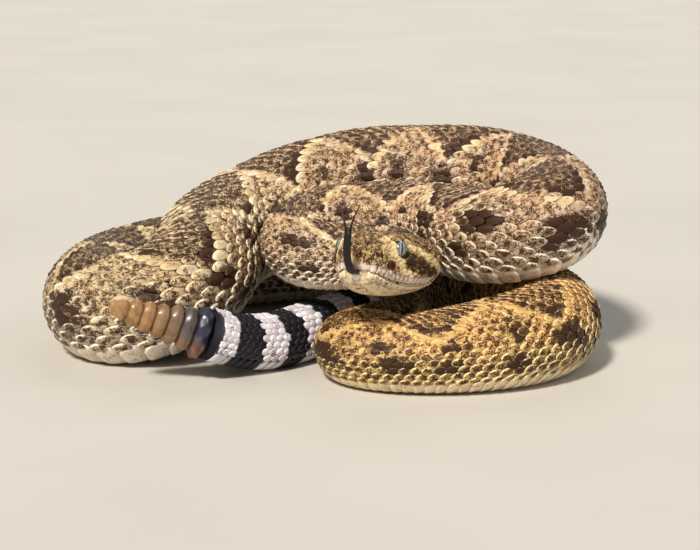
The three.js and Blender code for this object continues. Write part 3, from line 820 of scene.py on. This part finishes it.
def tail_scales():
    steps = scale_steps(VENT - 2, BODY_LENGTH, factor=0.30, least=2.6)
    number = np.arange(len(steps))
    n, j = [v.ravel() for v in np.meshgrid(number, np.arange(-8, 9), indexing="ij")]
    place = n + 0.5 * (j % 2)
    s = np.interp(place, number, steps)
    pitch = np.interp(place, number, np.gradient(steps))
    keep = s < BODY_LENGTH - 0.6
    s, j, pitch = s[keep], j[keep], pitch[keep]
    a = TAIL_ROW * j
    size = np.stack((spread(pitch * 1.6, 0.04), girth(s) * TAIL_ROW * 0.64), -1)
    small = pitch / SCUTE_FULL_PITCH
    keel = 0.30 * small * (1 - smooth(5, 8, np.abs(j)))
    shape = (0.3 * small, spread(0.85 * small, 0.2), 0.42 * small, keel)
    coat("tail_scales", body_surface, body_pattern, LEAF, np.stack((s, a), -1), size, np.zeros(len(s)),
         shape, TAIL_SCALES, "tail_skin", (TAIL_SPAN, ROUND), np.full(len(s), 0.05))
    s = steps[:-1]
    pitch = np.diff(steps)
    size = np.stack((pitch * 1.4, girth(s) * SCUTE_HALF), -1)
    none = np.zeros(len(s))
    centre = np.stack((s, none + np.pi), -1)
    coat("tail_scutes", body_surface, body_pattern, SCUTE, centre, size, none,
         (none + 0.15, none + 0.25, none, none), TAIL_SCALES, "tail_skin", (TAIL_SPAN, ROUND_BELLY),
         none + 0.05)


body_scales()
belly_scutes()
tail_scales()

# Scales of the head: small and close on the crown, in rows on the lips, larger under the chin


def keep_clear(back, a):
    """True where small scales grow: not on the lips, the brow plates, the pits, the nostrils or the eyes."""
    right, up = head_section(back, a)
    reach = np.abs(right)
    mouth = along(MOUTH_LINE, back)
    on_lips = (up - mouth < 2.7) & (up - mouth > -2.5) & (back < MOUTH_END)
    pit = (np.hypot((back - PIT[0]) / 3.4, (up - PIT[1]) / 2.7) < 1) & (reach > 4)
    hole = (np.hypot((back - NOSTRIL[0]) / 2.4, (up - NOSTRIL[1]) / 2.6) < 1) & (reach > 3)
    nose = (back < 1.6) & (reach < 2.6) & (up < 2.2) & (up > -7)
    eye = (np.hypot(back - EYE[0], up - EYE[2]) < 3.55) & (reach > 5)
    brow = (((back - 15.4) / 5.2) ** 2 + ((reach - 8.4) / 2.4) ** 2 < 1) & (up > 5.2)
    return ~(on_lips | pit | hole | nose | eye | brow)


def below_mouth(back, a):
    _, up = head_section(back, a)
    return up < along(MOUTH_LINE, back)


def scale_size(back, a):
    return np.where(below_mouth(back, a), 1.6 + 0.02 * back, 1.15 + 0.026 * back)


def scatter_head():
    """Places for the small scales: random ones, thinned where they are too close, then evened out."""
    many = 42000
    rounds = 5
    back = random.random(many) * (HEAD_LENGTH - 0.3) + 0.5
    a = (random.random(many) * 2 - 1) * np.pi
    d = 0.02
    here = head_surface(back, a)
    edges = head_surface(back + d, a) - here, head_surface(back, a + d) - here
    area = np.linalg.norm(np.cross(*edges), axis=1)
    pick = (random.random(many) < area / np.quantile(area, 0.98)) & keep_clear(back, a)
    back, a, here = back[pick], a[pick], here[pick]
    size = scale_size(back, a)
    chosen = []
    places = np.zeros((0, 3))
    sizes = np.zeros(0)
    for i in range(len(back)):
        far_enough = ((places - here[i]) ** 2).sum(1) > (0.86 * np.minimum(sizes, size[i])) ** 2
        if np.all(far_enough):
            chosen.append(i)
            places = np.vstack((places, here[i]))
            sizes = np.append(sizes, size[i])
    seeds = np.array(chosen)
    for _ in range(rounds):
        tree = KDTree(len(seeds))
        for k, i in enumerate(seeds):
            tree.insert(here[i], k)
        tree.balance()
        owner = np.array([tree.find(p)[1] for p in here])
        total = np.zeros((len(seeds), 3))
        np.add.at(total, owner, here)
        number = np.maximum(np.bincount(owner, minlength=len(seeds)), 1)
        middle = total / number[:, None]
        far = ((here - middle[owner]) ** 2).sum(1)
        order = np.lexsort((far, owner))
        first = np.unique(owner[order], return_index=True)[1]
        seeds = order[first]
    return back[seeds], a[seeds]


def small_head_scales():
    back, a = scatter_head()
    size = scale_size(back, a)
    below = below_mouth(back, a)
    keel = np.where(below, 0.0, 0.20 * smooth(6, 20, back))
    sink = np.full(len(back), 0.16)
    shape = (sink, np.where(below, 0.16, 0.26), np.where(below, 0.10, 0.2), keel)
    spans = np.stack((size * 1.62, size * 0.62), -1)
    turn = 0.24 * (random.random(len(back)) - 0.5)
    for name, pick, finish, slot in (("head_scales", ~below, HEAD_SCALES, "head_skin"),
                                     ("chin_scales", below, CHIN_SCALES, "jaw_skin")):
        coat(name, head_surface, head_pattern, SMALL_LEAF, np.stack((back[pick], a[pick]), -1), spans[pick],
             turn[pick], [v[pick] for v in shape], finish, slot, HEAD_BOX, np.full(pick.sum(), 0.12))


def angle_at(back, height):
    """The turn round the head at which its side has this height, on the animal's left."""
    turns = np.linspace(0.25, np.pi - 0.02, 400)
    _, up = head_section(np.full(400, back), turns)
    return float(np.interp(-height, -up, turns))


def lip_scales():
    for name, lift, tall, finish, slot in (("upper_lip_scales", 1.5, 2.7, HEAD_SCALES, "head_skin"),
                                           ("lower_lip_scales", -1.5, 2.4, CHIN_SCALES, "jaw_skin")):
        backs = [1.6]
        while backs[-1] < MOUTH_END - 1.5:
            backs.append(backs[-1] + 1.75 + 0.026 * backs[-1])
        backs = np.array(backs)
        angles = np.array([angle_at(b, float(along(MOUTH_LINE, b)) + lift) for b in backs])
        centre = np.vstack([np.stack((backs, way * angles), -1) for way in (1, -1)])
        wide = np.gradient(backs)
        one = np.stack((np.full(len(backs), tall), wide * 0.54), -1)
        size = spread(np.vstack((one, one)), 0.05)
        count = len(centre)
        # a lip scale stands upright on the side of the head: its root is away from the mouth
        upright = np.where(centre[:, 1] > 0, 1, -1) * (np.pi / 2) * np.sign(lift)
        none = np.zeros(count)
        shape = (none + 0.02, none + 0.12, none + 0.22, none)
        coat(name, head_surface, head_pattern, LABIAL, centre, size, upright, shape, finish, slot,
             HEAD_BOX, none + 0.3)


def ring_scales(name, middle, radii, number, size, top, dome):
    """Small plates round a hole or an eye, on both sides of the head, up to the height top."""
    centre, turn = [], []
    for way in (1, -1):
        for k in range(number):
            angle = 2 * np.pi * (k + 0.5) / number
            back = middle[0] + radii[0] * math.cos(angle)
            up = middle[1] + radii[1] * math.sin(angle)
            if up > top:
                continue
            centre.append((back, way * angle_at(back, up)))
            turn.append(math.atan2(-way * math.sin(angle), math.cos(angle)))
    count = len(centre)
    none = np.zeros(count)
    spans = spread(np.tile(np.array(size), (count, 1)), 0.08)
    coat(name, head_surface, head_pattern, LABIAL, np.array(centre), spans, np.array(turn),
         (none + 0.05, none + 0.05, none + dome, none), HEAD_SCALES, "head_skin", HEAD_BOX, none + 0.15)


def solid_plate(name, middle, length, across, normal, half, bow, finish, slot, colour, rim, speck, steps=14):
    """A domed plate with a rounded outline: middle and directions are in the head's frame."""
    ring = 28
    angle = full_turn(ring)
    points, faces = [], []
    for i in range(1, steps + 1):
        t = i / steps
        x = half[0] * t * np.sign(np.cos(angle)) * np.abs(np.cos(angle)) ** 0.8
        y = half[1] * t * np.sign(np.sin(angle)) * np.abs(np.sin(angle)) ** 0.8
        z = half[2] * (1 - t ** 3.2) - bow * (y / half[1]) ** 2
        points.append(np.outer(x, length) + np.outer(y, across) + np.outer(z, normal))
    rows = np.vstack(points)
    local = np.vstack((rows, np.outer((half[2],), normal), np.outer((-1.2,), normal))) + np.asarray(middle)
    top, deep = len(rows), len(rows) + 1
    for k in range(ring):
        n = (k + 1) % ring
        faces.append((top, n, k))
        for i in range(steps - 1):
            faces.append((i * ring + k, i * ring + n, (i + 1) * ring + n, (i + 1) * ring + k))
        faces.append(((steps - 1) * ring + k, (steps - 1) * ring + n, deep))
    count = len(local)
    share = np.append(np.repeat(np.arange(1, steps + 1) / steps, ring), (0, 1))
    tint = mix(np.tile(colour, (count, 1)), np.tile(rim, (count, 1)), smooth(0.72, 0.95, share))
    uv = np.stack((0.5 + local[:, 0] / 120, 0.5 + local[:, 1] / 120), -1)
    return make_piece(name, in_head(local), faces, finish, tint, np.full(count, speck), uv)


def plate_axes(normal, length):
    """Length, width and normal of a plate, square to each other."""
    normal = unit(np.array(normal))
    length = unit(np.array(length))
    length = unit(length - normal * (length @ normal))
    return length, np.cross(normal, length), normal


def brow_and_nose_plates():
    for name, way in (("brow_plate_right", 1), ("brow_plate_left", -1)):
        axes = plate_axes((-0.10, 0.42 * way, 0.9), (1.0, 0.14 * way, 0.04))
        solid_plate(name, (15.2, 8.5 * way, 7.55), *axes, (4.9, 2.5, 0.75), 0.5, HEAD_SCALES,
                    "head_skin", linear((196, 164, 112)), linear((226, 198, 146)), 0.62)
    across = np.array((0, 1.0, 0))
    normal = unit(np.array((-1.0, 0, 0.22)))
    solid_plate("nose_plate", (0.3, 0, -1.2), np.cross(across, normal), across, normal, (2.9, 2.3, 0.55),
                0.9, HEAD_SCALES, "head_skin", linear((214, 184, 150)), linear((252, 240, 222)), 0.5)
    normal = unit(np.array((-1.0, 0, -0.75)))
    solid_plate("chin_plate", (0.6, 0, -6.3), np.cross(across, normal), across, normal, (1.3, 1.7, 0.4),
                0.3, CHIN_SCALES, "jaw_skin", linear((250, 236, 214)), linear((252, 242, 226)), 0.15)


def hole_shade_plates():
    """Thin plates laid over the hollows of the heat pits, dark red, and of the nostrils, nearly black:
    painted shade standing in for the dark of the hollows.
    """
    above_skin = 0.28
    hole_shades = (("pit", PIT, (1.5, 1.3, 0.08), (66, 14, 7), (104, 34, 18)),
             ("nostril", NOSTRIL, (0.55, 1.0, 0.06), (34, 18, 12), (110, 62, 34)))
    for name, place, half, colour, rim in hole_shades:
        for side, way in (("left", 1), ("right", -1)):
            right, up = head_section(np.array((place[0],)), np.array((way * angle_at(*place),)))
            length, across, normal = plate_axes((-0.42, -way, 0.12), (1.0, 0, 0))
            middle = np.array((place[0], -way * abs(right[0]), up[0])) + normal * above_skin
            solid_plate(f"{name}_{side}", middle, length, across, normal, half, 0.0, HEAD_SCALES,
                        "head_skin", linear(colour), linear(rim), 0.0, steps=6)


small_head_scales()
lip_scales()
ring_scales("eye_ring_scales", (EYE[0], EYE[2]), (3.75, 3.6), number=15, size=(1.6, 0.78), top=6.2, dome=0.3)
ring_scales("pit_ring_scales", PIT, (2.35, 1.9), number=10, size=(1.1, 0.68), top=9.0, dome=0.12)
ring_scales("nostril_ring_scales", NOSTRIL, (1.6, 1.95), number=8, size=(1.05, 0.68), top=9.0, dome=0.14)
brow_and_nose_plates()
# dark plates over the pits and nostrils: painted shade of the hollows
hole_shade_plates()

# Eyes: a wet ball with a speckled grey iris and an upright slit


def make_eyes():
    material, tree, shader = new_material("eye", 0.12, 0.6, 1.0)
    shader.inputs["Coat Roughness"].default_value = 0.03
    spot = add_node(tree, "ShaderNodeAttribute", attribute_name="spot").outputs["Vector"]
    parts = add_node(tree, "ShaderNodeSeparateXYZ")
    tree.links.new(spot, parts.inputs[0])
    x, y = parts.outputs[0], parts.outputs[1]
    slit_half = 0.74
    inner = maths(tree, "SUBTRACT", slit_half ** 2, maths(tree, "MULTIPLY", y, y))
    slit = maths(tree, "MULTIPLY", maths(tree, "SQRT", maths(tree, "MAXIMUM", inner, 0.0)), 0.20)
    from_slit = maths(tree, "SUBTRACT", maths(tree, "ABSOLUTE", x), slit)
    pupil = span(tree, from_slit, -0.015, 0.02)
    square = maths(tree, "ADD", maths(tree, "MULTIPLY", x, x), maths(tree, "MULTIPLY", y, y))
    radius = maths(tree, "SQRT", square)
    grain = noise(tree, 3200, 4.0, 0.7)
    iris = blend_colour(tree, span(tree, grain, 0.42, 0.62), linear((60, 63, 66)), linear((148, 154, 156)))
    iris = blend_colour(tree, span(tree, radius, 0.66, 0.86), iris, linear((30, 26, 24)))
    near = span(tree, from_slit, 0.02, 0.14, 0.6, 0.0)
    iris = blend_colour(tree, near, iris, linear((206, 206, 196)))
    tree.links.new(blend_colour(tree, pupil, linear((6, 5, 5)), iris), shader.inputs["Base Color"])
    bump(tree, shader, grain, 0.1, 0.00005)
    rows, columns = 48, 64
    theta, phi = np.meshgrid(np.linspace(0, np.pi, rows + 1), full_turn(columns), indexing="ij")
    ball = np.stack((np.sin(theta) * np.cos(phi), np.sin(theta) * np.sin(phi), np.cos(theta)), -1)
    ball = ball.reshape(-1, 3)
    faces = tube_faces(rows + 1, columns)[:, (0, 3, 2, 1)]
    for name, way in (("eye_left", -1), ("eye_right", 1)):
        gaze = unit(np.array((-1.05, way, 0.05)))
        high = unit(np.array((0, 0, 1.0)) - gaze * gaze[2])
        wide = np.cross(high, gaze)
        local = EYE_RADIUS * (ball[:, :1] * wide + ball[:, 1:2] * high + ball[:, 2:] * gaze)
        local = local + np.array((EYE[0], way * EYE[1], EYE[2]))
        piece = make_piece(name + "_ball", in_head(local), faces, material,
                           extra=ball * np.where(ball[:, 2:] > 0, 1, 3))
        weld(piece)
        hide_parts(name)


def weld(piece):
    """Joins the points at the two poles of a ball and turns its faces outwards."""
    shape = bmesh.new()
    shape.from_mesh(piece.data)
    bmesh.ops.remove_doubles(shape, verts=shape.verts, dist=1e-7)
    bmesh.ops.recalc_face_normals(shape, faces=shape.faces)
    shape.to_mesh(piece.data)
    shape.free()


make_eyes()

# Tongue: out of the notch in the lip, then up, and forked

TONGUE_STEM = [(6, 0, -4.4), (1, 0, -4.5), (-4, 0, -4.2), (-7.5, 0.3, -0.5), (-8.5, 0.4, 4), (-8.8, 0.2, 8.2)]


def through(points, count):
    p = np.array(points, float)
    padded = np.vstack((2 * p[0] - p[1], p, 2 * p[-1] - p[-2]))
    t = np.linspace(0, len(p) - 1, count)
    i = np.minimum(t.astype(int), len(p) - 2)
    w = (t - i)[:, None]
    a, b, c, d = padded[i], padded[i + 1], padded[i + 2], padded[i + 3]
    squared, cubed = 2 * a - 5 * b + 4 * c - d, 3 * b - a - 3 * c + d
    return 0.5 * (2 * b + (c - a) * w + squared * w ** 2 + cubed * w ** 3)


def ribbon(points, count, half_width, half_thickness, sides=14):
    """A closed flattened rod: its points, faces and how far along it each point is."""
    line = through(points, count)
    forward = unit(np.gradient(line, axis=0))
    across = unit(np.array((0, 1.0, 0)) - forward * forward[:, 1:2])
    flat = np.cross(forward, across)
    t = np.linspace(0, 1, count)
    turn = full_turn(sides)
    wide = np.interp(t, (0, 1), half_width)[:, None, None] * np.cos(turn)[None, :, None]
    thick = np.interp(t, (0, 1), half_thickness)[:, None, None] * np.sin(turn)[None, :, None]
    rows = line[:, None] + across[:, None] * wide + flat[:, None] * thick
    points = np.vstack((rows.reshape(-1, 3), line[:1], line[-1:] + 0.2 * forward[-1:]))
    faces = tube_faces(count, sides).tolist() + end_faces(count, sides, count * sides, count * sides + 1)
    share = np.concatenate((np.repeat(t, sides), (0, 1)))
    return points, faces, share


def make_tongue():
    material, tree, shader = new_material("tongue", 0.42, 0.35)
    colour = add_node(tree, "ShaderNodeVertexColor", layer_name="Col").outputs["Color"]
    grain = noise(tree, 2200, 3.0)
    tree.links.new(blend_colour(tree, span(tree, grain, 0.4, 0.7, 0.0, 0.5), colour, linear((40, 24, 26))),
                   shader.inputs["Base Color"])
    bump(tree, shader, grain, 0.25, 0.0001)
    fork = np.array(TONGUE_STEM[-1])
    parts = [ribbon(TONGUE_STEM, 60, (1.55, 1.25), (0.75, 0.6))]
    for spread_out, rise in ((3.6, 9.6), (-3.4, 9.4)):
        way = math.copysign(1, spread_out)
        tine = [fork + (0.15, 0.35 * way, -2.5), fork + (0, 0.6 * way, 0),
                fork + (-0.3, spread_out * 0.42, rise * 0.4), fork + (0.2, spread_out, rise)]
        parts.append(ribbon(tine, 40, (0.78, 0.14), (0.55, 0.14)))
    ink, tip = linear((15, 12, 14)), linear((96, 34, 24))
    points, faces, colours = [], [], []
    start = 0
    for i, (p, f, share) in enumerate(parts):
        points.append(p)
        faces.extend([tuple(v + start for v in face) for face in f])
        colours.append(mix(ink, tip, smooth(0.45, 1.0, share) * (i > 0) * 0.8))
        start += len(p)
    piece = make_piece("tongue_forked", in_head(np.vstack(points)), faces, material,
                       np.vstack(colours))
    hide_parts("tongue")


make_tongue()

# Rattle: beads of horn that grip one another, flattened from side to side, with a groove down each side

RATTLE_TIP = np.array((-82.5, 7.0, 30.5))
RATTLE_HEIGHTS = [18.6, 15.6, 14.2, 12.4, 11.0, 9.8, 7.0]
RATTLE_PITCH = [5.6, 5.2, 5.0, 4.9, 4.8, 4.7, 7.2]
RATTLE_FLATNESS = 0.62
RATTLE_START, RATTLE_GAP = 0.15, 0.3
RATTLE_PROFILE = [
    (-0.25, 0.50), (0, 0.74), (0.14, 0.90), (0.34, 0.99), (0.52, 1.0), (0.70, 0.96), (0.86, 0.86),
    (1.0, 0.70), (1.06, 0.55),
]
BUTTON_PROFILE = [
    (-0.25, 0.55), (0, 0.78), (0.18, 0.98), (0.34, 1.0), (0.50, 0.88), (0.66, 0.74), (0.8, 0.62),
    (0.93, 0.42), (1.0, 0.12),
]
RATTLE_COLOURS = [
    ((44, 48, 66), (120, 84, 58)), ((84, 76, 76), (130, 98, 74)), ((126, 102, 76), (150, 116, 80)),
    ((146, 114, 78), (160, 120, 78)), ((158, 120, 78), (172, 128, 80)), ((162, 122, 80), (174, 130, 84)),
    ((164, 126, 84), (180, 138, 94)),
]


def horn_material():
    material, tree, shader = new_material("horn", 0.38, 0.45, 0.15)
    shader.inputs["Subsurface Weight"].default_value = 0.18
    shader.inputs["Subsurface Radius"].default_value = (0.0022, 0.0011, 0.0005)
    colour = add_node(tree, "ShaderNodeVertexColor", layer_name="Col").outputs["Color"]
    cloud = noise(tree, 260, 4.0, 0.6)
    streak = noise(tree, 700, 4.0, 0.6, (1.0, 1.0, 3.0))
    shade = blend_colour(tree, 1.0, colour, linear((170, 140, 116)), "MULTIPLY")
    worn = blend_colour(tree, span(tree, cloud, 0.4, 0.68, 0.0, 0.7), colour, shade)
    flecks = span(tree, streak, 0.60, 0.72, 0.0, 0.45)
    tree.links.new(blend_colour(tree, flecks, worn, linear((70, 48, 34))), shader.inputs["Base Color"])
    tree.links.new(span(tree, cloud, 0.3, 0.7, 0.30, 0.50), shader.inputs["Roughness"])
    bump(tree, shader, streak, 0.3, 0.00015)
    return material


def make_rattle():
    material = horn_material()
    root = on_line(np.array((BODY_LENGTH,)))[0]
    root[2] = max(root[2], BELLY * float(girth(BODY_LENGTH)))
    axis = unit(RATTLE_TIP - root)
    up = unit(np.array((0, 0, 1.0)) - axis * axis[2])
    side = np.cross(axis, up)
    start = RATTLE_START
    rows, columns = 34, 72
    for i, height in enumerate(RATTLE_HEIGHTS):
        last = i == len(RATTLE_HEIGHTS) - 1
        t = np.linspace(-0.25 if i else 0.0, 1.0 if last else 1.06, rows)
        turn = full_turn(columns)
        swell = along(BUTTON_PROFILE if last else RATTLE_PROFILE, t)[:, None]
        swell = swell - 0.012 * (1 + np.cos(t[:, None] * 2 * np.pi * 2.5)) * smooth(0.0, 0.3, t)[:, None]
        groove = 1 - 0.16 * bell(np.cos(turn)[None], 0.3) * (0.7 + 0.3 * swell)
        wobble = 1 + 0.012 * np.sin(3 * turn[None] + 1.7 * i)
        if i == 0:
            wobble = wobble + 0.05 * np.sin(8 * turn)[None] * np.sin(9.0 * t)[:, None]
        high = height / 2 * swell * np.cos(turn)[None] * wobble
        wide = height / 2 * RATTLE_FLATNESS * swell * groove * np.sin(turn)[None] * wobble
        along_axis = (start + (RATTLE_PITCH[i] - RATTLE_GAP) * t)[:, None, None]
        points = root + axis * along_axis + side * wide[..., None] + up * high[..., None]
        faces = tube_faces(rows, columns).tolist()
        ends = np.stack((points[0].mean(0), points[-1].mean(0) + axis * 0.15 * last))
        flat = np.vstack((points.reshape(-1, 3), ends))
        faces.extend(end_faces(rows, columns, rows * columns, rows * columns + 1))
        upper, lower = [linear(c) for c in RATTLE_COLOURS[i]]
        low = 1 - smooth(-0.8, -0.1, np.cos(turn))[None]
        colours = mix(upper, lower, low * np.ones_like(swell))
        # each bead is painted darker near its front, where it sits in the bead before, and a little at its
        # far end: painted shade at the seams
        shade = 0.62 + 0.38 * smooth(0.0, 0.25, t) * (1 - 0.5 * smooth(0.85, 1.06, t))
        colours = colours * shade[:, None, None]
        colours = np.vstack((colours.reshape(-1, 3), colours[0, :1], colours[-1, :1]))
        name = "rattle_button" if last else f"rattle_segment_{i + 1}"
        piece = make_piece(name + "_horn", flat, faces, material, colours)
        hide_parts(name)
        start += RATTLE_PITCH[i]


make_rattle()

# Floor, light and camera

def make_floor():
    material, tree, shader = new_material("floor", 0.8, 0.2)
    cloud = span(tree, noise(tree, 6, 3.0), 0.3, 0.7)
    grey = blend_colour(tree, cloud, linear((196, 191, 182)), linear((201, 196, 187)))
    tree.links.new(grey, shader.inputs["Base Color"])
    mesh = bpy.data.meshes.new("floor")
    half = 4
    corners = [(-half, -half, 0), (half, -half, 0), (half, half, 0), (-half, half, 0)]
    mesh.from_pydata(corners, [], [(0, 1, 2, 3)])
    mesh.materials.append(material)
    obj = bpy.data.objects.new("floor", mesh)
    scene.collection.objects.link(obj)


def add_light(name, azimuth, elevation, strength, soft, colour):
    """A soft distant light: azimuth 0 comes from the camera's side, 90 from the viewer's right."""
    data = bpy.data.lights.new(name, "SUN")
    data.energy, data.angle, data.color = strength, math.radians(soft), colour
    a, e = math.radians(azimuth), math.radians(elevation)
    source = Vector((math.sin(a) * math.cos(e), -math.cos(a) * math.cos(e), math.sin(e)))
    obj = bpy.data.objects.new(name, data)
    obj.location = source
    obj.rotation_euler = (-source).to_track_quat("-Z", "Y").to_euler()
    scene.collection.objects.link(obj)


make_floor()
add_light("key", -24, 46, 4.2, 8, (1.0, 0.945, 0.86))
add_light("fill", 60, 30, 0.35, 50, (0.93, 0.96, 1.0))
add_light("rim", 175, 45, 0.5, 40, (1.0, 0.98, 0.95))
world = bpy.data.worlds.new("studio")
world.use_nodes = True
world.node_tree.nodes["Background"].inputs["Color"].default_value = (0.86, 0.89, 0.94, 1)
world.node_tree.nodes["Background"].inputs["Strength"].default_value = 0.30
scene.world = world
scene.view_settings.view_transform = "Standard"

# The photo's camera as assumed: its focal length and width in the photo's pixels, its place and tilt
FOCAL_PIXELS, PHOTO_WIDTH, SENSOR = 1848, 700, 36
CAMERA_PLACE = (0, -600, 169.6)
CAMERA_TILT = 12

camera_data = bpy.data.cameras.new("camera")
camera_data.sensor_fit = "HORIZONTAL"
camera_data.sensor_width = SENSOR
camera_data.lens = SENSOR * FOCAL_PIXELS / PHOTO_WIDTH
camera_data.clip_start = 0.02
camera = bpy.data.objects.new("camera", camera_data)
camera.location = to_row(CAMERA_PLACE)
camera.rotation_euler = (math.radians(90 - CAMERA_TILT), 0, 0)
scene.collection.objects.link(camera)
scene.camera = camera
